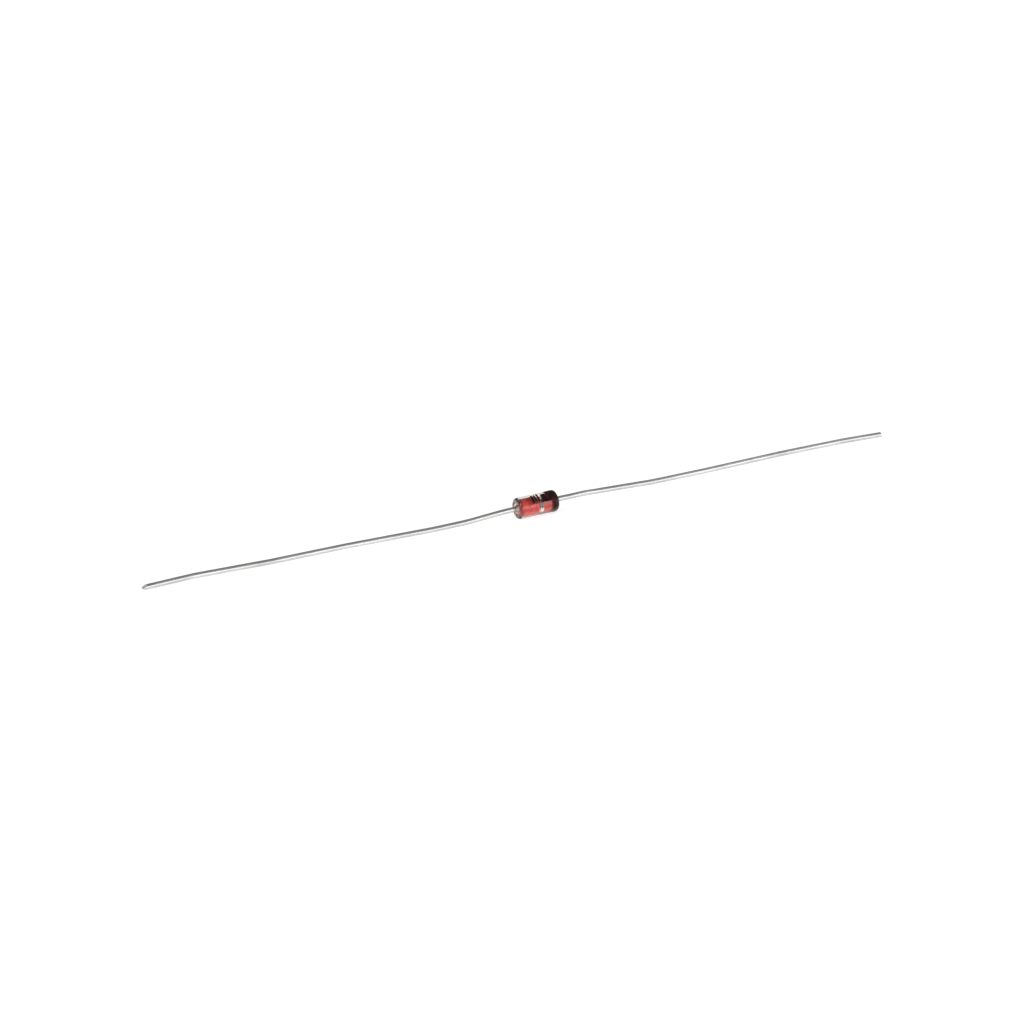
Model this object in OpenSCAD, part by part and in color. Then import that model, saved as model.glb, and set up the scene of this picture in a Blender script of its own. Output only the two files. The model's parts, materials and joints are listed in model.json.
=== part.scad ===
// Axial-leaded zener diode of the double-stud kind, lying on a flat surface at z = 0.
// The glass lies along X over the origin, with the anode lead towards -X and the cathode lead towards +X.

/* [Glass sleeve] */
// Outside diameter of the glass
glass_d = 1.75; // [1.5:0.05:2.2]
// Length of the glass over its rounded ends
glass_len = 3.5; // [3.3:0.1:4.6]

/* [Studs] */
// Diameter of each stud, and of the glass bore that is sealed round it
stud_d = 0.85; // [0.8:0.05:1.2]
// Distance from each end of the glass to the outer face of the stud in it
stud_recess = 0.15; // [0.05:0.05:0.5]
// Radius of the rounded edge between each stud's side and its end faces
stud_round = 0.08; // [0.02:0.01:0.1]

/* [Die] */
// Side of the square silicon die
die_w = 0.5; // [0.3:0.05:0.55]
// Thickness of the die
die_t = 0.3; // [0.1:0.02:0.34]
// Diameter of the silver bump on the die
bump_d = 0.3; // [0.15:0.05:0.45]
// Height of the bump, from the die to the anode stud
bump_h = 0.1; // [0.03:0.01:0.14]
// Distance from the middle of the glass to the middle of the die and bump, towards the cathode
stack_shift = 0.2; // [0:0.02:0.3]

/* [Leads] */
// Diameter of the lead wire
lead_d = 0.44; // [0.35:0.01:0.55]
// Length of the anode lead from the glass to its tip, along the wire
anode_lead_len = 31; // [28:0.05:38]
// Length of the cathode lead from the glass to its tip, along the wire
cathode_lead_len = 31.5; // [28:0.05:38]
// Diameter of the weld bead on the outer face of each stud
weld_d = 0.66; // [0.6:0.02:0.7]
// Straight wire between the glass and the first bend
lead_exit = 0.5; // [0.3:0.1:1.5]
// Radius of every bend, at the middle of the wire
bend_r = 12; // [6:1:20]
// Distance of the pinched edge at both tips below the middle of the wire
tip_drop = 0.07; // [0:0.01:0.15]
// Angle between the wire and the upper face of the anode lead's tip, 90 for a square cut
anode_tip_angle = 36; // [30:2:90]
// Angle between the wire and the under face of the anode lead's tip
anode_under_angle = 25; // [20:5:90]
// Angle between the wire and the upper face of the cathode lead's tip
cathode_tip_angle = 80; // [30:2:90]
// Angle between the wire and the under face of the cathode lead's tip
cathode_under_angle = 75; // [20:5:90]

/* [Ink] */
// Thickness of the ink on the glass
ink_t = 0.02; // [0.01:0.005:0.03]
// Width of the cathode's band on the straight part of the glass, from where it also runs over the lip
band_w = 0.2; // [0.1:0.02:0.9]

/* [Hidden] */
$fn = 64;

// Each printed bar, as its distance from the cathode's band and its width, in shares of the glass's length,
// and where it starts and ends round the glass, from 0 at the front to 90 on top
bars = [[0.006, 0.157, 34, 110], [0.171, 0.12, 34, 83], [0.355, 0.045, 43, 92],
        [0.404, 0.085, 67, 81], [0.493, 0.045, 37, 89]];

// A bend is a hair thicker than the straight wire, which runs this far into it at both ends
bend_swell = 0.01;
bend_lap = 0.05;

// Each lead's way past its exit, as the straight before a bend in shares of the lead's length
// and the bend's angle, positive towards +Y
anode_route = [[0.0065, -3.1], [0.071, 6], [0.058, 3.4], [0.2255, -2], [0.177, 2.7], [0.1675, -5.9]];
cathode_route = [[0.0065, 2.4], [0.051, -6.5], [0.127, 4.8], [0.14, 1.4], [0.229, -2.1], [0.175, -3.4]];

// Directions round a wire that was drawn along +Z, before it is turned onto the diode's axis
sideways_angle = 90;
down_angle = 180;

// The band stands proud of the glass all round, so the axis lies that much higher than the glass's radius
axis_z = glass_d / 2 + ink_t;

// The lips at both ends of the glass are full rounds over the whole wall
lip_r = (glass_d - stud_d) / 4;
lip_mid_r = stud_d / 2 + lip_r;
lip_start = glass_len / 2 - lip_r;

// Places along the glass, from its middle towards the cathode
stack_len = die_t + bump_h;
anode_contact = stack_shift - stack_len / 2;
cathode_contact = stack_shift + stack_len / 2;
band_start = lip_start - band_w;

// Distance from the middle of the glass to the outer face of each stud, and what is left for its length
stud_face = glass_len / 2 - stud_recess;
anode_stud_len = stud_face + anode_contact;
cathode_stud_len = stud_face - cathode_contact;

// Turns a piece that was drawn along +Z, from the middle of the glass, onto the diode's axis
module on_axis(place = 0) {
    translate([place, 0, axis_z])
        rotate([0, 90, 0])
            children();
}

function arc_len(angle) = bend_r * abs(angle) * PI / 180;

function route_len(route, lead_len, i = 0) =
    i < len(route) ? route[i][0] * lead_len + arc_len(route[i][1]) + route_len(route, lead_len, i + 1) : 0;

// Glass tube fused onto the studs: a wall with full-round lips, turned about the axis
module glass_sleeve() {
    color([0.82, 0.88, 0.88, 0.4])
        on_axis()
            rotate_extrude() {
                translate([stud_d / 2, -lip_start])
                    square([2 * lip_r, 2 * lip_start]);
                for (end = [-1, 1])
                    translate([lip_mid_r, end * lip_start])
                        circle(r = lip_r);
            }
}

// Copper-clad plug with rounded edges, along +Z
module stud(length) {
    face_r = stud_d / 2 - stud_round;
    color([0.62, 0.1, 0.08])
        rotate_extrude() {
            square([face_r, length]);
            translate([0, stud_round])
                square([stud_d / 2, length - 2 * stud_round]);
            for (edge = [stud_round, length - stud_round])
                translate([face_r, edge])
                    circle(r = stud_round);
        }
}

module anode_stud() {
    on_axis(-stud_face)
        stud(anode_stud_len);
}

module cathode_stud() {
    on_axis(cathode_contact)
        stud(cathode_stud_len);
}

// Square chip that sits flat on the cathode stud
module silicon_die() {
    color([0.33, 0.34, 0.37])
        on_axis(cathode_contact - die_t / 2)
            cube([die_w, die_w, die_t], center = true);
}

// Silver button pressed flat between the chip and the anode stud, the middle zone of a ball
module contact_bump() {
    color([0.86, 0.86, 0.84])
        on_axis(anode_contact + bump_h / 2)
            intersection() {
                sphere(d = bump_d);
                cube([2 * bump_d, 2 * bump_d, bump_h], center = true);
            }
}

// Straight wire along +Z that runs on into the bends before and after it, with what follows at its far end
module straight(length, lap_before = bend_lap) {
    translate([0, 0, -lap_before])
        cylinder(d = lead_d, h = lap_before + length + bend_lap);
    translate([0, 0, length])
        children();
}

// Wire bent from +Z towards a direction round it, 0 for up and 90 for +Y, with what follows at its far end
module bent(angle, direction) {
    rotate([0, 0, direction])
        translate([bend_r, 0, 0]) {
            rotate([90, 0, 180])
                rotate_extrude(angle = angle)
                    translate([bend_r, 0])
                        circle(d = lead_d + bend_swell);
            rotate([0, angle, 0])
                translate([-bend_r, 0, 0])
                    rotate([0, 0, -direction])
                        children();
        }
}

// Everything past a plane that leans back from a tip's edge, over the wire or, turned round, under it
module tip_cut(angle) {
    cutter = 4 * lead_d;
    rotate([0, 90 - angle, 0])
        translate([-cutter / 2, -cutter / 2, 0])
            cube(cutter);
}

// Last straight of a wire, pinched off by cutters to an edge across it
module cut_tip(length, upper_angle, under_angle) {
    difference() {
        translate([0, 0, -bend_lap])
            cylinder(d = lead_d, h = bend_lap + length);
        translate([-tip_drop, 0, length]) {
            tip_cut(upper_angle);
            rotate([0, 0, 180])
                tip_cut(under_angle);
        }
    }
}

// The wire's way from bend i of its route to its tip
module wire(route, lead_len, tip_len, tip_angles, i = 0) {
    if (i < len(route))
        straight(route[i][0] * lead_len)
            bent(abs(route[i][1]), sign(route[i][1]) * sideways_angle)
                wire(route, lead_len, tip_len, tip_angles, i + 1);
    else
        cut_tip(tip_len, tip_angles[0], tip_angles[1]);
}

// Weld bead on a stud's outer face, a half ball
module weld_bead() {
    intersection() {
        sphere(d = weld_d);
        translate([-weld_d, -weld_d, 0])
            cube(2 * weld_d);
    }
}

// Whole lead towards -X: out of the glass, down until its tip meets the surface, then along its route
module lead(route, lead_len, tip_angles) {
    droop = asin((axis_z - lead_d / 2) / (lead_len - lead_exit));
    tip_len = lead_len - lead_exit - arc_len(droop) - route_len(route, lead_len);
    color([0.74, 0.74, 0.72])
        translate([-stud_face, 0, axis_z])
            rotate([0, -90, 0]) {
                weld_bead();
                straight(stud_recess + lead_exit, 0)
                    bent(droop, down_angle)
                        wire(route, lead_len, tip_len, tip_angles);
            }
}

module anode_lead() {
    lead(anode_route, anode_lead_len, [anode_tip_angle, anode_under_angle]);
}

module cathode_lead() {
    mirror([1, 0, 0])
        lead(cathode_route, cathode_lead_len, [cathode_tip_angle, cathode_under_angle]);
}

// The band: a ring of ink on the straight part of the glass and on over the outer half of the lip
module cathode_band() {
    color([0.07, 0.06, 0.06])
        on_axis()
            rotate_extrude() {
                translate([glass_d / 2, band_start])
                    square([ink_t, band_w]);
                translate([lip_mid_r, lip_start])
                    difference() {
                        intersection() {
                            circle(r = lip_r + ink_t);
                            square(lip_r + ink_t);
                        }
                        circle(r = lip_r);
                    }
            }
}

// Plain bars in the place of the print, near the top of the glass
module type_bars() {
    front = 270;
    color([0.07, 0.06, 0.06])
        for (bar = bars)
            on_axis(band_start - (bar[0] + bar[1]) * glass_len)
                rotate([0, 0, front - bar[3]])
                    rotate_extrude(angle = bar[3] - bar[2])
                        translate([glass_d / 2, 0])
                            square([ink_t, bar[1] * glass_len]);
}

glass_sleeve();
anode_stud();
cathode_stud();
silicon_die();
contact_bump();
anode_lead();
cathode_lead();
cathode_band();
type_bars();
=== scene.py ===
"""A zener diode in a clear glass sleeve, lying on a white studio floor."""

import json
import math

import bpy
import numpy as np
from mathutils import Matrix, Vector


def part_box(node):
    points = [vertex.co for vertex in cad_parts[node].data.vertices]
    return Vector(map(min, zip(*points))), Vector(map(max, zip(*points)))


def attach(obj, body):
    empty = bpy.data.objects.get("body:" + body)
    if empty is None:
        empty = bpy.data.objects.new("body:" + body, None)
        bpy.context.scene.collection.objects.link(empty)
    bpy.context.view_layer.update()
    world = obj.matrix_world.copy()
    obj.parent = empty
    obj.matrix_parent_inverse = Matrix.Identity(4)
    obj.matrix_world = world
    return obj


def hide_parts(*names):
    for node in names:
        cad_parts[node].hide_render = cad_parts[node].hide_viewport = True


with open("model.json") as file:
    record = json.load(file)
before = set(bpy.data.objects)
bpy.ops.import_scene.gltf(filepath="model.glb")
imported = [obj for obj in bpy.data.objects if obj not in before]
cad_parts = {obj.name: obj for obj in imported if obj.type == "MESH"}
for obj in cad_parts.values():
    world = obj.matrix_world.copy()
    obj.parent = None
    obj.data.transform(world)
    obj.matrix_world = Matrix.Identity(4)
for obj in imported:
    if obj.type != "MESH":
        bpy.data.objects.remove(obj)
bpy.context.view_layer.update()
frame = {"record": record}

MM = 0.001

# Sizes and places that the solids give, in metres
MOUNTS = {mount["name"]: mount for mount in frame["record"]["mounts"]}
GLASS_LOW, GLASS_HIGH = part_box("glass_sleeve")
STUD_LOW, STUD_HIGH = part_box("anode_stud")
BAND_LOW, BAND_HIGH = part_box("cathode_band")
AXIS_Z = (GLASS_LOW.z + GLASS_HIGH.z) / 2
GLASS_R = (GLASS_HIGH.z - GLASS_LOW.z) / 2
GLASS_END = GLASS_HIGH.x
GLASS_LEN = 2 * GLASS_END
STUD_R = (STUD_HIGH.z - STUD_LOW.z) / 2
ANODE_FACE = STUD_LOW.x
CATHODE_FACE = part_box("cathode_stud")[1].x
LIP_R = (GLASS_R - STUD_R) / 2
LIP_START = GLASS_END - LIP_R
BAND_START = BAND_LOW.x
INK_T = BAND_HIGH.z - GLASS_HIGH.z
WELD_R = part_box("anode_lead")[1].z - AXIS_Z
WIRE_R = MOUNTS["anode_lead_end"]["dims"]["r_mm"] * MM

# The leads' way past the glass, as the straight before each bend in shares of the lead's length
# and the bend's degrees towards +Y
LEAD_EXIT = 0.5 * MM
BEND_R = 12 * MM
ANODE_LEAD_LEN = 31 * MM
CATHODE_LEAD_LEN = 31.5 * MM
ANODE_ROUTE = ((0.0065, -3.1), (0.071, 6), (0.058, 3.4), (0.2255, -2), (0.177, 2.7), (0.1675, -5.9))
CATHODE_ROUTE = ((0.0065, 2.4), (0.051, -6.5), (0.127, 4.8), (0.14, 1.4), (0.229, -2.1), (0.175, -3.4))

# How far the cathode's lead lies above that way where it leaves the glass, the distance from the stud
# up to which it stays there, and the distance at which it is back
CATHODE_LIFT = 0.062 * MM
LIFT_HOLD = 2.6 * MM
LIFT_END = 4.2 * MM

# The tips' pinched edges below the wire's middle, the upper and under faces' angles to the wire in degrees,
# the length over which the wire leans over to those faces, and the worn shoulder round them
TIP_DROP = 0.07 * MM
ANODE_TIP_ANGLES = (36, 25)
CATHODE_TIP_ANGLES = (80, 75)
TIP_ZONE = 4 * WIRE_R
TIP_SHOULDER = 0.05 * MM

# The studs' rounded edges, and how far pressing has spread the anode's inner end over the contact
STUD_EDGE = 0.08 * MM
STUD_SPREAD = 0.08 * MM

# The bevels of the die, and the power in the formulas for rounded squares, where more is squarer
DIE_BEVEL = 0.012 * MM
CORNER_POWER = 24

# How far the soft glass has sunk in between the studs, and half the width of that neck
NECK = 0.05 * MM
NECK_HALF = 0.11 * MM

# How far a bonded surface reaches into the glass, so that no film of air shows between them
BOND = 0.004 * MM

# The printed bars, as their distance from the band and their width in shares of the glass's length,
# and where they start and end round the glass, from 0 at the front to 90 on top
BARS = (
    (0.006, 0.157, 34, 110),
    (0.171, 0.12, 34, 83),
    (0.355, 0.045, 43, 92),
    (0.43, 0.033, 45, 88),
    (0.493, 0.045, 37, 89),
)

# How far the ink has run out past the edges of each bar, and how far the inked edges wander
INK_BLEED = 0.012 * MM
BAND_WANDER = 0.012 * MM
LIP_WANDER = 0.02 * MM
STAIN_WANDER = 0.03 * MM
BAR_WANDER = 0.008 * MM

# The stain beside the band: how far it reaches, how far it runs on under the band, and its thickness
STAIN_REACH = 0.28 * MM
STAIN_LAP = 0.04 * MM
STAIN_T = 0.005 * MM

# The photograph's view: pixels in its 1024 frame, degrees, millimetres
IMAGE = 1024
SENSOR = 36
VIEW_AZIMUTH = -27
VIEW_ELEVATION = 26.4
VIEW_DISTANCE = 210
PIXELS_PER_MM = 12.45
BODY_PIXEL = (535.7, 504.6)

# The floor's grey under the lamps, its glow to the eye, in metal and through glass, and the room's grey
FLOOR_GREY = 0.55
FLOOR_GLOW = 0.74
MIRROR_GLOW = 0.68
GLASS_GLOW = 0.8
ROOM_GREY = 0.29

# The radius of the floor's flat middle face, of the floor out to where it curves up, and of that curve,
# and the wall's height, in metres
MIDDLE_R = 0.02
FLOOR_R = 1.2
CURVE_R = 0.3
WALL_HEIGHT = 0.42

# Each lamp's azimuth and elevation in degrees, distance, width and height in metres, and watts
LAMPS = {
    "front_softbox": (18, 17, 0.7, 2.0, 0.4, 5.2),
    "anode_softbox": (-75, 44, 0.6, 0.16, 0.16, 1.2),
    "cathode_softbox": (100, 35, 0.6, 0.35, 0.35, 0.3),
}


class Signal:
    """One output of a finish's nodes. Arithmetic on it, from either side, adds Math nodes."""

    def __init__(self, finish, socket):
        self.finish = finish
        self.socket = socket

    def math(self, operation, *values):
        return self.finish.add("ShaderNodeMath", dict(enumerate(values)), operation=operation)

    def __add__(self, other):
        return self.math("ADD", self, other)

    def __radd__(self, other):
        return self.math("ADD", other, self)

    def __sub__(self, other):
        return self.math("SUBTRACT", self, other)

    def __rsub__(self, other):
        return self.math("SUBTRACT", other, self)

    def __mul__(self, other):
        return self.math("MULTIPLY", self, other)

    def __rmul__(self, other):
        return self.math("MULTIPLY", other, self)

    def __neg__(self):
        return self.math("MULTIPLY", self, -1)

    def __abs__(self):
        return self.math("ABSOLUTE", self)

    def or_more(self, other):
        """The greater of two values."""
        return self.math("MAXIMUM", self, other)

    def step(self, low, high):
        """Rises smoothly from 0 at low to 1 at high."""
        sockets = {"Value": self, "From Min": low, "From Max": high}
        return self.finish.add("ShaderNodeMapRange", sockets, interpolation_type="SMOOTHSTEP")


class Finish:
    """A material: one Principled shader and the nodes that feed it. Places on the diode are in metres."""

    def __init__(self, name):
        self.material = bpy.data.materials.new(name)
        self.material.use_nodes = True
        self.tree = self.material.node_tree
        self.shader = self.tree.nodes["Principled BSDF"]

    def feed(self, socket, value):
        if isinstance(value, Signal):
            self.tree.links.new(value.socket, socket)
        else:
            socket.default_value = value

    def add(self, kind, sockets, out=0, stops=None, **settings):
        """Adds a node of any kind: its settings first, then a ramp's stops, then its sockets."""
        node = self.tree.nodes.new(kind)
        for key, value in settings.items():
            setattr(node, key, value)
        if stops:
            ramp = node.color_ramp
            while len(ramp.elements) < len(stops):
                ramp.elements.new(1.0)
            for element, (place, colour) in zip(ramp.elements, stops):
                element.position = place
                element.color = colour
        for key, value in sockets.items():
            self.feed(node.inputs[key], value)
        return Signal(self, node.outputs[out])

    def place(self, stretch):
        """Object coordinates times a stretch along each axis."""
        where = self.add("ShaderNodeTexCoord", {}, "Object")
        return self.add("ShaderNodeVectorMath", {0: where, 1: stretch}, operation="MULTIPLY")

    def wire_place(self, stretch):
        """Coordinates along and across a lead as if it were straight, times a stretch."""
        where = self.add("ShaderNodeAttribute", {}, "Vector", attribute_name="drawn")
        return self.add("ShaderNodeVectorMath", {0: where, 1: stretch}, operation="MULTIPLY")

    def coordinate(self, axis):
        """One of the Object coordinates."""
        where = self.add("ShaderNodeTexCoord", {}, "Object")
        return self.add("ShaderNodeSeparateXYZ", {0: where}, axis)

    def along(self):
        """Place along the diode's axis, from the middle of the glass towards the cathode."""
        return self.coordinate("X")

    def behind(self):
        """Distance from the diode's axis towards the back."""
        return self.coordinate("Y")

    def above(self):
        """Height over the diode's axis."""
        return self.coordinate("Z") - AXIS_Z

    def from_axis(self):
        """Distance from the diode's axis all round."""
        sockets = {0: self.place((0, 1, 1)), 1: (0, 0, AXIS_Z)}
        where = self.add("ShaderNodeVectorMath", sockets, operation="SUBTRACT")
        return self.add("ShaderNodeVectorMath", {0: where}, "Value", operation="LENGTH")

    def noise(self, where, scale=1.0, detail=3.0, roughness=0.5):
        sockets = {"Vector": where, "Scale": scale, "Detail": detail, "Roughness": roughness}
        return self.add("ShaderNodeTexNoise", sockets, "Fac")

    def ramp(self, factor, *stops):
        return self.add("ShaderNodeValToRGB", {"Fac": factor}, "Color", stops)

    def blend(self, factor, first, second):
        """Colour that goes from first to second as factor goes from 0 to 1."""
        return self.add("ShaderNodeMix", {0: factor, 6: first, 7: second}, 2, data_type="RGBA")

    def coats(self, colour, *coats):
        """A colour under coats, the lowest first. Each is where it lies, from 0 to 1, and its colour."""
        for where, coat in coats:
            colour = self.blend(where, colour, coat)
        return colour

    def bump(self, height, strength, depth):
        sockets = {"Height": height, "Strength": strength, "Distance": depth}
        return self.add("ShaderNodeBump", sockets, "Normal")

    def set(self, **sockets):
        """Sets the shader's sockets by name, with _ for a space."""
        for key, value in sockets.items():
            self.feed(self.shader.inputs[key.replace("_", " ")], value)
        return self.material


def rgb(red, green, blue):
    return (red, green, blue, 1.0)


def glass_finish():
    """Clear lead glass, fire-polished, with a faint haze in patches and slow waves in its surface. It is
    warm round the studs; painted shade darkens it along the underside and greys its lips, darkest on top."""
    finish = Finish("clear_glass")
    haze = finish.noise(finish.place((900, 1600, 1600)), detail=4)
    waves = finish.noise(finish.place((500, 900, 900)), detail=1)
    along, above = finish.along(), finish.above()
    dull = along.step(0.6 * MM, 1.4 * MM)
    wall = finish.from_axis().step(STUD_R + 0.02 * MM, STUD_R + 0.06 * MM)
    # Painted shade: the glass is darker and warmer along its underside.
    low = (-above).step(0.45 * MM, 0.75 * MM)
    # Painted shade: a grey tint over both lips, darkest on top. The lips are rougher too.
    lip_zone = abs(along).step(1.42 * MM, 1.58 * MM)
    painted_lip_shade = finish.blend(above.step(0.5 * MM, 0.78 * MM), rgb(0.5, 0.47, 0.435), rgb(0.16, 0.26, 0.25))
    return finish.set(
        Base_Color=finish.coats(
            rgb(1.0, 0.81, 0.73), (wall, rgb(0.985, 0.89, 0.84)), (low, rgb(0.86, 0.73, 0.68)), (lip_zone, painted_lip_shade)
        ),
        Roughness=0.1 + haze * 0.12 + lip_zone * 0.11 + dull * 0.05 + (1 - wall) * 0.05,
        IOR=1.56,
        Transmission_Weight=1.0,
        Normal=finish.bump(waves, 0.25, 0.02 * MM),
    )


def stud_finish():
    """Copper-clad alloy under red oxide: crimson with orange thin spots, dark blotches and fine turning
    lines. It is brighter red towards the cathode, paler below as painted light, and darker under the print
    as a painted shadow. The anode's outer end has a dark red rim, a pale edge with a painted highlight on
    top, and is darker brown-grey at the back. The cathode's outer end is darkened as painted shade."""
    finish = Finish("red_oxide_copper")
    cloud = finish.noise(finish.place((1500, 1900, 1900)), detail=4, roughness=0.6)
    speck = finish.noise(finish.place((6000, 5000, 5000)), detail=3)
    lines = finish.noise(finish.place((30000, 900, 900)), detail=2)
    along, above, behind = finish.along(), finish.above(), finish.behind()
    crimson = finish.ramp(
        cloud,
        (0.32, rgb(0.42, 0.02, 0.016)),
        (0.46, rgb(0.86, 0.05, 0.046)),
        (0.6, rgb(0.95, 0.1, 0.09)),
        (0.76, rgb(0.97, 0.26, 0.18)),
    )
    thin = speck.step(0.58, 0.72) * 0.5
    # Brighter red towards the cathode.
    cathode_brighter = along.step(0.4 * MM, 0.6 * MM) * 0.4
    # Painted light: paler red on the underside, where the floor lights it.
    under = (-above).step(0.05 * MM, 0.38 * MM) * 0.7
    # Painted shadow of the print: darker on the studs' upper front, from the anode stud's middle towards the
    # cathode.
    front = 1 - behind.step(0.05 * MM, 0.33 * MM)
    printed = above.step(0.18 * MM, 0.3 * MM) * along.step(-0.95 * MM, -0.45 * MM)
    rim = (-along).step(1.2 * MM, 1.48 * MM) * 0.9
    edge = (-along).step(1.5 * MM, 1.56 * MM) * finish.from_axis().step(0.3 * MM, 0.34 * MM)
    # Painted highlight on top of the anode's outer edge.
    painted_top_highlight = (-along).step(1.45 * MM, 1.53 * MM) * above.step(0.12 * MM, 0.28 * MM)
    # Darker brown-grey towards the back of the anode's outer end.
    darker_back = (-along).step(0.6 * MM, 1.4 * MM) * behind.step(0.08 * MM, 0.4 * MM)
    # Painted shade: the cathode's outer end is darkened.
    painted_end_shade = along.step(1.05 * MM, 1.3 * MM) * 0.92
    colour = finish.coats(
        crimson,
        (thin, rgb(0.92, 0.26, 0.15)),
        (cathode_brighter, rgb(0.99, 0.15, 0.13)),
        (under, rgb(0.98, 0.3, 0.24)),
        (printed * front * 0.7, rgb(0.2, 0.012, 0.01)),
        (rim, rgb(0.62, 0.045, 0.03)),
        (edge, rgb(0.8, 0.58, 0.48)),
        (painted_top_highlight, rgb(1.0, 0.86, 0.8)),
        (darker_back * (0.55 + cloud * 0.8), rgb(0.25, 0.17, 0.15)),
        (painted_end_shade, rgb(0.09, 0.01, 0.008)),
    )
    return finish.set(
        Base_Color=colour,
        Roughness=0.5 + speck * 0.25,
        Specular_IOR_Level=0.12,
        Normal=finish.bump(lines + speck, 0.35, 0.006 * MM),
    )


def silicon_finish():
    """Polished silicon with sawn, slightly chipped sides."""
    finish = Finish("silicon")
    saw = finish.noise(finish.place((2500, 18000, 18000)), detail=3)
    return finish.set(
        Base_Color=finish.blend(saw.step(0.4, 0.7), rgb(0.12, 0.055, 0.06), rgb(0.24, 0.115, 0.12)),
        Metallic=0.6,
        Roughness=0.2 + saw * 0.25,
        Normal=finish.bump(saw, 0.3, 0.004 * MM),
    )


def silver_finish():
    """Plated silver button with a fine matt grain."""
    finish = Finish("plated_silver")
    grain = finish.noise(finish.place((22000, 22000, 22000)), detail=4)
    return finish.set(
        Base_Color=finish.blend(grain, rgb(0.82, 0.8, 0.76), rgb(0.95, 0.94, 0.91)),
        Metallic=1.0,
        Roughness=0.3 + grain * 0.2,
        Normal=finish.bump(grain, 0.4, 0.004 * MM),
    )


def tin_finish():
    """Tin-plated wire: draw lines along it, duller oxidised stretches, small handling marks and a brown
    heat tint at the weld."""
    finish = Finish("tinned_wire")
    lines = finish.noise(finish.wire_place((260, 14000, 14000)), detail=3)
    dull = finish.noise(finish.wire_place((420, 2200, 2200)), detail=4, roughness=0.6)
    marks = finish.noise(finish.wire_place((2600, 5200, 5200)), detail=2)
    from_stud = finish.add("ShaderNodeSeparateXYZ", {0: finish.wire_place((1, 1, 1))}, "X")
    tin = finish.ramp(
        dull * 0.7 + lines * 0.3,
        (0.32, rgb(0.45, 0.447, 0.44)),
        (0.5, rgb(0.59, 0.587, 0.58)),
        (0.66, rgb(0.69, 0.687, 0.68)),
    )
    worn = finish.blend(marks.step(0.66, 0.76) * 0.5, tin, rgb(0.42, 0.41, 0.4))
    return finish.set(
        Base_Color=finish.blend(from_stud.step(0.2 * MM, 0.6 * MM), rgb(0.4, 0.345, 0.31), worn),
        Metallic=1.0,
        Roughness=0.24 + dull * 0.16 + lines * 0.08,
        Normal=finish.bump(lines * 0.6 + marks, 0.25, 0.004 * MM),
    )


def cut_finish():
    """Sheared end of a lead: tin smeared over the copper, which shows in streaks across the cut."""
    finish = Finish("cut_wire")
    smear = finish.noise(finish.place((4000, 16000, 4000)), detail=3)
    return finish.set(
        Base_Color=finish.blend(smear.step(0.3, 0.5), rgb(0.52, 0.44, 0.39), rgb(0.72, 0.71, 0.7)),
        Metallic=0.6,
        Roughness=0.45 + smear * 0.2,
        Normal=finish.bump(smear, 0.4, 0.008 * MM),
    )


def ink_finish():
    """Baked black ink with a fine grain and a maroon cast where it is thin, greyer over the lip and
    glossier below."""
    finish = Finish("black_ink")
    thin = finish.noise(finish.place((2600, 2600, 2600)), detail=4)
    grain = finish.noise(finish.place((24000, 24000, 24000)), detail=2)
    maroon = finish.blend(thin.step(0.4, 0.7), rgb(0.016, 0.002, 0.003), rgb(0.065, 0.007, 0.008))
    lip = finish.along().step(1.36 * MM, 1.56 * MM)
    below = (-finish.above()).step(-0.05 * MM, 0.5 * MM)
    return finish.set(
        Base_Color=finish.blend(lip, maroon, rgb(0.014, 0.013, 0.014)),
        Coat_Weight=lip * 0.12 + below * 0.9,
        Coat_Roughness=0.2,
        Roughness=0.2 + grain * 0.14,
        Specular_IOR_Level=0.15,
        Normal=finish.bump(grain + thin, 0.15, 0.004 * MM),
    )


def stain_finish():
    """Ink that has run out thin beside the band: dull maroon-brown in clouds, fading away from the band
    and towards the underside."""
    finish = Finish("ink_stain")
    cloud = finish.noise(finish.place((3000, 2400, 2400)), detail=4)
    reach = finish.along().step(BAND_START - STAIN_REACH, BAND_START - 0.02 * MM)
    return finish.set(
        Base_Color=finish.blend(cloud.step(0.35, 0.65), rgb(0.03, 0.008, 0.006), rgb(0.075, 0.018, 0.014)),
        Alpha=reach * finish.above().step(-0.5 * MM, 0.08 * MM),
        Roughness=0.7 + cloud * 0.2,
        Specular_IOR_Level=0.05,
    )


def line(start, end, count):
    """Points from start up to, but not at, end."""
    return np.linspace(start, end, count, endpoint=False)


def arc(centre, radius, start, end, count):
    """Points on a circle from one angle up to, but not at, another, in degrees."""
    turn = np.radians(line(start, end, count))
    return np.stack([centre[0] + radius * np.cos(turn), centre[1] + radius * np.sin(turn)], -1)


def about_axis(x, radius, turn):
    """Points at places along the diode's axis and distances from it, turned about it from the underside
    towards the back."""
    return np.stack(np.broadcast_arrays(x, radius * np.sin(turn), AXIS_Z - radius * np.cos(turn)), -1)


def turned(profile, count):
    """Rings of a profile of (x, radius) pairs turned about the diode's axis."""
    return about_axis(profile[:, :1], profile[:, 1:], line(0, math.tau, count))


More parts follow.
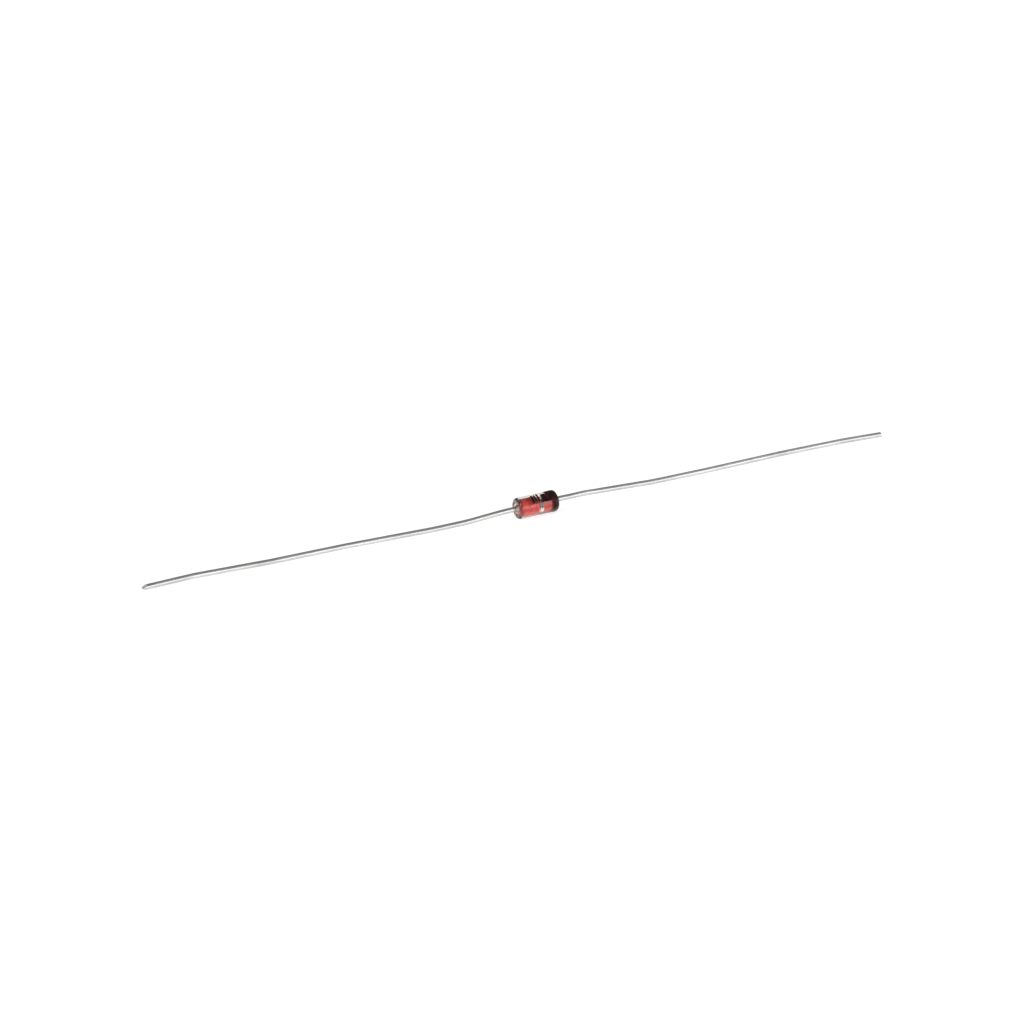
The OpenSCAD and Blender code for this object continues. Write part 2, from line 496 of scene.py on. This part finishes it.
def skin(rings, joined, tip):
    """Points, four-sided faces and end triangles of a closed surface over rings of points. Each ring is
    joined to the next, and with joined the last one meets the first. Otherwise both ends are fans to a
    middle point, the last one to tip if it is given. The signed volume of the faces says whether they
    point outwards."""
    count, around = rings.shape[:2]
    points = rings.reshape(-1, 3)
    index = np.arange(count * around).reshape(count, around)
    near = index if joined else index[:-1]
    far = np.roll(index, -1, 0) if joined else index[1:]
    quads = np.stack([near, np.roll(near, -1, 1), np.roll(far, -1, 1), far], -1).reshape(-1, 4)
    fans = np.zeros((0, 3), int)
    if not joined:
        middles = rings[[0, -1]].mean(1)
        if tip is not None:
            middles[1] = tip
        points = np.concatenate([points, middles])
        first = np.stack([np.full(around, len(points) - 2), np.roll(index[0], -1), index[0]], -1)
        last = np.stack([np.full(around, len(points) - 1), index[-1], np.roll(index[-1], -1)], -1)
        fans = np.concatenate([first, last])
    triangles = np.concatenate([quads[:, [0, 1, 2]], quads[:, [0, 2, 3]], fans])
    a, b, c = (points - points.mean(0))[triangles].transpose(1, 0, 2)
    if (a * np.cross(b, c)).sum() < 0:
        quads, fans = quads[:, ::-1], fans[:, ::-1]
    return points, quads, fans


def shell(name, rings, finishes, nodes, joined=False, sharp=35, tip=None):
    """A closed piece from rings of points, smooth up to a sharp angle in degrees. The last fan takes the
    second finish, if there is one."""
    points, quads, fans = skin(rings, joined, tip)
    mesh = bpy.data.meshes.new(name)
    mesh.vertices.add(len(points))
    mesh.vertices.foreach_set("co", points.astype(np.float32).ravel())
    mesh.loops.add(quads.size + fans.size)
    mesh.loops.foreach_set("vertex_index", np.concatenate([quads.ravel(), fans.ravel()]).astype(np.int32))
    mesh.polygons.add(len(quads) + len(fans))
    starts = np.concatenate([4 * np.arange(len(quads)), quads.size + 3 * np.arange(len(fans))])
    mesh.polygons.foreach_set("loop_start", starts.astype(np.int32))
    mesh.update(calc_edges=True)
    mesh.polygons.foreach_set("use_smooth", np.ones(len(starts), bool))
    mesh.set_sharp_from_angle(angle=math.radians(sharp))
    for finish in finishes:
        mesh.materials.append(finish)
    if len(finishes) > 1:
        kinds = np.zeros(len(starts), np.int32)
        kinds[len(starts) - rings.shape[1]:] = 1
        mesh.polygons.foreach_set("material_index", kinds)
    mesh.validate()

    piece = bpy.data.objects.new(name, mesh)
    bpy.context.scene.collection.objects.link(piece)
    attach(piece, "root")
    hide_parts(*nodes)
    return piece


def ripple(turn, seed, waves):
    """A smooth closed wave over a turn, between about -1 and 1: a few harmonics with seeded phases."""
    draw = np.random.default_rng(seed)
    order = np.arange(1, waves + 1)
    phase = draw.uniform(0, math.tau, waves)
    size = draw.uniform(0.4, 1.0, waves) / np.sqrt(order)
    return (size * np.sin(np.multiply.outer(turn, order) + phase)).sum(-1) / size.sum()


def glass_sleeve(finish):
    """The sleeve's wall as a closed outline turned about the axis: the outside, a half circle for each
    lip, and the bore, which the fusing has drawn in by a bell curve between the studs."""
    lip_mid_r = STUD_R + LIP_R
    outside = np.stack([line(-LIP_START, LIP_START, 120), np.full(120, GLASS_R)], -1)
    right_lip = arc((LIP_START, lip_mid_r), LIP_R, 90, -90, 40)
    x = line(LIP_START, -LIP_START, 160)
    gap = (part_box("contact_bump")[0].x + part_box("silicon_die")[1].x) / 2
    bore = np.stack([x, STUD_R - NECK * np.exp(-(((x - gap) / NECK_HALF) ** 2))], -1)
    left_lip = arc((-LIP_START, lip_mid_r), LIP_R, 270, 90, 40)
    rings = turned(np.concatenate([outside, right_lip, bore, left_lip]), 160)
    return shell("glass_sleeve_fused", rings, [finish], ["glass_sleeve"], joined=True)


def stud(name, node, finish, spread=0.0):
    """A plug with rounded edges, bonded a hair into the glass: its outline turned about the axis. The
    pressing of the stack has spread its inner end a little over the contact."""
    low, high = (corner.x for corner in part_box(node))
    high += spread
    radius = STUD_R + BOND
    face = radius - STUD_EDGE
    inner = 0.2 * face
    profile = np.concatenate([
        np.stack([np.full(6, low), np.linspace(inner, face, 6)], -1),
        arc((low + STUD_EDGE, face), STUD_EDGE, 180, 90, 10)[1:],
        np.stack([np.linspace(low + STUD_EDGE, high - STUD_EDGE, 40), np.full(40, radius)], -1),
        arc((high - STUD_EDGE, face), STUD_EDGE, 90, 0, 10)[1:],
        np.stack([np.full(6, high), np.linspace(face, inner, 6)], -1),
    ])
    return shell(name, turned(profile, 96), [finish], [node])


def silicon_die(finish):
    """A square chip with softened edges: rings whose radius follows a rounded square, widest between
    two small bevels."""
    low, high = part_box("silicon_die")
    half = (high.y - low.y) / 2
    turn = line(0, math.tau, 96)
    corners = np.abs(np.cos(turn)) ** CORNER_POWER + np.abs(np.sin(turn)) ** CORNER_POWER
    square = half / corners ** (1 / CORNER_POWER)
    inner, narrow = 0.4, 1 - DIE_BEVEL / half
    x = np.array([low.x, low.x, low.x + DIE_BEVEL, high.x - DIE_BEVEL, high.x, high.x])
    share = np.array([inner, narrow, 1, 1, narrow, inner])
    rings = about_axis(x[:, None], np.multiply.outer(share, square), turn)
    return shell("silicon_chip", rings, [finish], ["silicon_die"])


def contact_bump(finish):
    """A pressed silver button: the middle zone of a ball."""
    low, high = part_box("contact_bump")
    radius = (high.z - low.z) / 2
    middle = (low.x + high.x) / 2
    half = (high.x - low.x) / 2
    inner = 0.4 * radius
    x = np.linspace(-half, half, 13)
    profile = np.concatenate([
        [[low.x, inner]],
        np.stack([middle + x, np.sqrt(radius**2 - x**2)], -1),
        [[high.x, inner]],
    ])
    return shell("silver_button", turned(profile, 64), [finish], ["contact_bump"])


def lead_way(along, face, heading, length, route, lift):
    """A wire's middle, and its directions ahead, to the side and up, at distances along it from the stud's
    face. Its heading angles rise evenly over each bend and hold over each straight, and its way is their
    running sum. First the wire droops until its tip meets the floor, and then it follows its route. A lift
    rises and falls smoothly near the glass."""
    recess = GLASS_END - abs(face)
    droop = math.asin((AXIS_Z - WIRE_R) / (length - LEAD_EXIT))
    droop_start = recess + LEAD_EXIT
    droop_end = droop_start + BEND_R * droop
    knots, angles = [droop_end], [0.0]
    for share, bend in route:
        turn = math.radians(bend)
        start = knots[-1] + share * length
        knots += [start, start + BEND_R * abs(turn)]
        angles += [angles[-1], angles[-1] + turn]

    aside = np.interp(along, knots, angles)[:, None]
    down = np.interp(along, [droop_start, droop_end], [0, droop])
    level = np.zeros_like(down)
    forward = np.stack([heading * np.cos(down), level, -np.sin(down)], -1)
    up = np.stack([heading * np.sin(down), level, np.cos(down)], -1)
    across = np.array([0.0, 1.0, 0.0])
    ahead = np.cos(aside) * forward + np.sin(aside) * across
    side = np.cos(aside) * across - np.sin(aside) * forward
    steps = np.diff(along)[:, None] * (ahead[1:] + ahead[:-1]) / 2
    middle = np.array([face, 0, AXIS_Z]) + np.concatenate([np.zeros((1, 3)), np.cumsum(steps, 0)])
    lifted = np.interp(along, [0, recess, LIFT_HOLD, LIFT_END], [0, 1, 1, 0])
    middle[:, 2] += lift * lifted**2 * (3 - 2 * lifted)
    return middle, ahead, side, up


def lead(name, node, finishes, face, heading, length, route, tip_angles, lift=0.0):
    """A round wire carried along its way. Its radius tapers from the weld bead's edge at the stud, and
    rounds off by a quarter circle at the worn tip. The rings lie closer at both ends, and near the tip they
    lean over to the two planes that the cutters left."""
    total = GLASS_END - abs(face) + length
    close_end = 1.3 * WELD_R
    shoulder_start = total - TIP_SHOULDER
    along = np.concatenate([
        line(0, close_end, 26),
        line(close_end, shoulder_start, 520),
        np.linspace(shoulder_start, total, 7),
    ])
    middle, ahead, side, up = lead_way(along, face, heading, length, route, lift)

    worn = np.clip((along - total) / TIP_SHOULDER + 1, 0, 1)
    wire_r = WIRE_R - TIP_SHOULDER * (1 - np.sqrt(1 - worn**2))
    bead_len = math.sqrt(WELD_R**2 - WIRE_R**2)
    radius = wire_r + (WELD_R - WIRE_R) * np.clip(1 - along / bead_len, 0, None)
    turn = line(math.pi, 3 * math.pi, 64)
    height = radius[:, None] * np.cos(turn)
    width = radius[:, None] * np.sin(turn)
    upper, under = (1 / math.tan(math.radians(angle)) for angle in tip_angles)
    rise = WIRE_R * np.cos(turn) + TIP_DROP
    lean = np.maximum(rise * upper, -rise * under)
    back = np.clip((along - total) / TIP_ZONE + 1, 0, 1)[:, None] * lean
    rings = (
        middle[:, None]
        - back[..., None] * ahead[:, None]
        + height[..., None] * up[:, None]
        + width[..., None] * side[:, None]
    )
    piece = shell(name, rings, finishes, [node], tip=middle[-1] - TIP_DROP * up[-1])

    drawn = np.stack([along[:, None] - back, height, width], -1).reshape(-1, 3)
    ends = np.array([[0.0, 0.0, 0.0], [total, -TIP_DROP, 0.0]])
    attribute = piece.data.attributes.new("drawn", "FLOAT_VECTOR", "POINT")
    attribute.data.foreach_set("vector", np.concatenate([drawn, ends]).astype(np.float32).ravel())
    return piece


def on_glass(along, proud):
    """Place and radius of a point that stands proud of the glass by some height. The distance along the
    glass's outline is straight up to the lip and then turns with the lip's circle."""
    bent = np.clip((along - LIP_START) / LIP_R, 0, None)
    x = np.minimum(along, LIP_START) + (LIP_R + proud) * np.sin(bent)
    radius = GLASS_R - LIP_R + (LIP_R + proud) * np.cos(bent)
    return x, radius


def ink_film(name, nodes, finish, low, high, turn, joined, thick=INK_T):
    """An ink film on the glass: a section with rounded shoulders, from low to high along the glass's
    outline, carried round the glass. low and high have one number for each place in turn."""
    low, high = low[:, None], high[:, None]
    across = np.concatenate([line(0, 1, 40), line(1, 0, 40)])
    top = np.concatenate([np.ones(40), np.zeros(40)])
    along = low + (high - low) * across
    shoulder = np.clip(np.minimum(along - low, high - along) / (1.5 * thick), 0, 1)
    proud = np.sqrt(shoulder * (2 - shoulder)) * top * (thick + BOND) - BOND
    x, radius = on_glass(along, proud)
    rings = about_axis(x, radius, turn[:, None])
    return shell(name, rings, [finish], nodes, joined=joined, sharp=60)


def cathode_band(finish):
    """The band: an ink film all round the cathode end of the glass and over its lip, with uneven edges."""
    turn = line(0, math.tau, 240)
    low = BAND_START + BAND_WANDER * ripple(turn, seed=3, waves=14)
    high = LIP_START + LIP_R * math.pi / 2 - LIP_WANDER * (1 + ripple(turn, seed=5, waves=9))
    return ink_film("cathode_band_ink", ["cathode_band"], finish, low, high, turn, True)


def ink_stain(finish):
    """A thin stain on the glass beside the band, all round, with a wavy inner edge."""
    turn = line(0, math.tau, 240)
    low = BAND_START - STAIN_REACH + STAIN_WANDER * ripple(turn, seed=8, waves=12)
    high = np.full_like(turn, BAND_START + STAIN_LAP)
    return ink_film("ink_stain", [], finish, low, high, turn, True, STAIN_T)


def type_bars(finish):
    """Plain bars near the top of the glass. Each one's width closes in to a half by a rounded square's
    formula over its last few degrees."""
    front = 270
    rounding = np.sqrt(1 - np.abs(np.linspace(-1, 1, 60)) ** CORNER_POWER)
    for number, (gap, width, start, end) in enumerate(BARS):
        turn = np.radians(front - np.linspace(start, end, 60))
        half = (width * GLASS_LEN / 2 + INK_BLEED) * (0.5 + 0.5 * rounding)
        middle = BAND_START - (gap + width / 2) * GLASS_LEN
        low = middle - half + BAR_WANDER * ripple(4 * turn, seed=11 + number, waves=7)
        high = middle + half + BAR_WANDER * ripple(4 * turn, seed=21 + number, waves=7)
        nodes = ["type_bars"] if number == 0 else []
        ink_film(f"type_bar_{number + 1}", nodes, finish, low, high, turn, False)


def floor_finish():
    """White card that looks white to the eye, and near the diode in metal and through glass too, and
    still takes the object's shadow."""
    finish = Finish("studio_white")
    seen = finish.add("ShaderNodeLightPath", {}, "Is Camera Ray")
    mirrored = finish.add("ShaderNodeLightPath", {}, "Is Glossy Ray")
    through = finish.add("ShaderNodeLightPath", {}, "Is Transmission Ray")
    away = finish.add("ShaderNodeVectorMath", {0: finish.place((1, 1, 1))}, "Value", operation="LENGTH")
    sheet = 1 - away.step(0.06, 0.14)
    beyond = 1 + away.step(0.03, 0.08) * 0.1
    near = sheet * (mirrored * MIRROR_GLOW).or_more(through * GLASS_GLOW)
    glow = near.or_more(seen * beyond * FLOOR_GLOW)
    return finish.set(
        Base_Color=rgb(FLOOR_GREY, FLOOR_GREY, FLOOR_GREY),
        Roughness=0.9,
        Specular_IOR_Level=0.0,
        Emission_Color=finish.add("ShaderNodeVectorMath", {0: (1, 1, 1), "Scale": glow}, operation="SCALE"),
        Emission_Strength=1.0,
    )


def studio():
    """Floor that curves up into a low wall all round: an outline of radius and height turned about the
    upright axis, with one flat face in its middle."""
    around = 96
    profile = np.concatenate([
        np.stack([np.linspace(MIDDLE_R, FLOOR_R, 40), np.zeros(40)], -1),
        arc((FLOOR_R, CURVE_R), CURVE_R, -90, 0, 16)[1:],
        np.stack([np.full(4, FLOOR_R + CURVE_R), np.linspace(CURVE_R, WALL_HEIGHT, 4)], -1),
    ])
    turn = line(0, math.tau, around)
    radius, height = profile[:, :1], profile[:, 1:]
    rings = np.stack(np.broadcast_arrays(radius * np.cos(turn), radius * np.sin(turn), height), -1)
    index = np.arange(len(profile) * around).reshape(-1, around)
    near, far = index[:-1], index[1:]
    quads = np.stack([near, far, np.roll(far, -1, 1), np.roll(near, -1, 1)], -1).reshape(-1, 4)
    mesh = bpy.data.meshes.new("studio_floor")
    mesh.from_pydata(rings.reshape(-1, 3).tolist(), [], quads.tolist() + [index[0].tolist()])
    mesh.polygons.foreach_set("use_smooth", np.ones(len(mesh.polygons), bool))
    mesh.materials.append(floor_finish())
    floor = bpy.data.objects.new("studio_floor", mesh)
    bpy.context.scene.collection.objects.link(floor)


def direction(azimuth, elevation):
    """Unit vector from the object: azimuth 0 is towards -Y and 90 towards +X."""
    a, e = math.radians(azimuth), math.radians(elevation)
    return Vector((math.sin(a) * math.cos(e), -math.cos(a) * math.cos(e), math.sin(e)))


def softbox(name, azimuth, elevation, distance, width, height, watts):
    """A flat lamp that faces the diode's middle."""
    lamp = bpy.data.lights.new(name, "AREA")
    lamp.shape = "RECTANGLE"
    lamp.size, lamp.size_y = width, height
    lamp.energy = watts
    holder = bpy.data.objects.new(name, lamp)
    way = direction(azimuth, elevation)
    holder.location = way * distance
    holder.rotation_euler = way.to_track_quat("Z", "Y").to_euler()
    holder.visible_camera = False
    bpy.context.scene.collection.objects.link(holder)


def light():
    """Big soft light from the front, smaller ones from both ends, and a dim grey room above."""
    for name, lamp in LAMPS.items():
        softbox(name, *lamp)
    world = bpy.data.worlds.new("room")
    world.use_nodes = True
    background = world.node_tree.nodes["Background"]
    background.inputs["Color"].default_value = rgb(ROOM_GREY, ROOM_GREY, ROOM_GREY)
    bpy.context.scene.world = world


def camera():
    """The photograph's view. The optical axis meets the picture's middle, and the body lies off it."""
    back = direction(VIEW_AZIMUTH, VIEW_ELEVATION)
    right = Vector((0, 0, 1)).cross(back).normalized()
    up = back.cross(right)
    offset_x = (BODY_PIXEL[0] - IMAGE / 2) / PIXELS_PER_MM * MM
    offset_y = (IMAGE / 2 - BODY_PIXEL[1]) / PIXELS_PER_MM * MM
    aim = Vector((0, 0, AXIS_Z)) - right * offset_x - up * offset_y
    lens = bpy.data.cameras.new("camera")
    lens.sensor_width = SENSOR
    lens.lens = PIXELS_PER_MM * VIEW_DISTANCE * SENSOR / IMAGE
    lens.clip_start = 0.01
    lens.clip_end = 10
    holder = bpy.data.objects.new("camera", lens)
    holder.location = aim + back * VIEW_DISTANCE * MM
    holder.rotation_euler = back.to_track_quat("Z", "Y").to_euler()
    bpy.context.scene.collection.objects.link(holder)
    bpy.context.scene.camera = holder


bpy.context.scene.view_settings.view_transform = "Standard"
camera()
light()
studio()

ink, red_oxide = ink_finish(), stud_finish()
wire = [tin_finish(), cut_finish()]
glass_sleeve(glass_finish())
stud("anode_stud_plug", "anode_stud", red_oxide, STUD_SPREAD)
stud("cathode_stud_plug", "cathode_stud", red_oxide)
silicon_die(silicon_finish())
contact_bump(silver_finish())
lead("anode_wire", "anode_lead", wire, ANODE_FACE, -1, ANODE_LEAD_LEN, ANODE_ROUTE, ANODE_TIP_ANGLES)
lead(
    "cathode_wire", "cathode_lead", wire, CATHODE_FACE, 1,
    CATHODE_LEAD_LEN, CATHODE_ROUTE, CATHODE_TIP_ANGLES, CATHODE_LIFT,
)
cathode_band(ink)
ink_stain(stain_finish())
type_bars(ink)
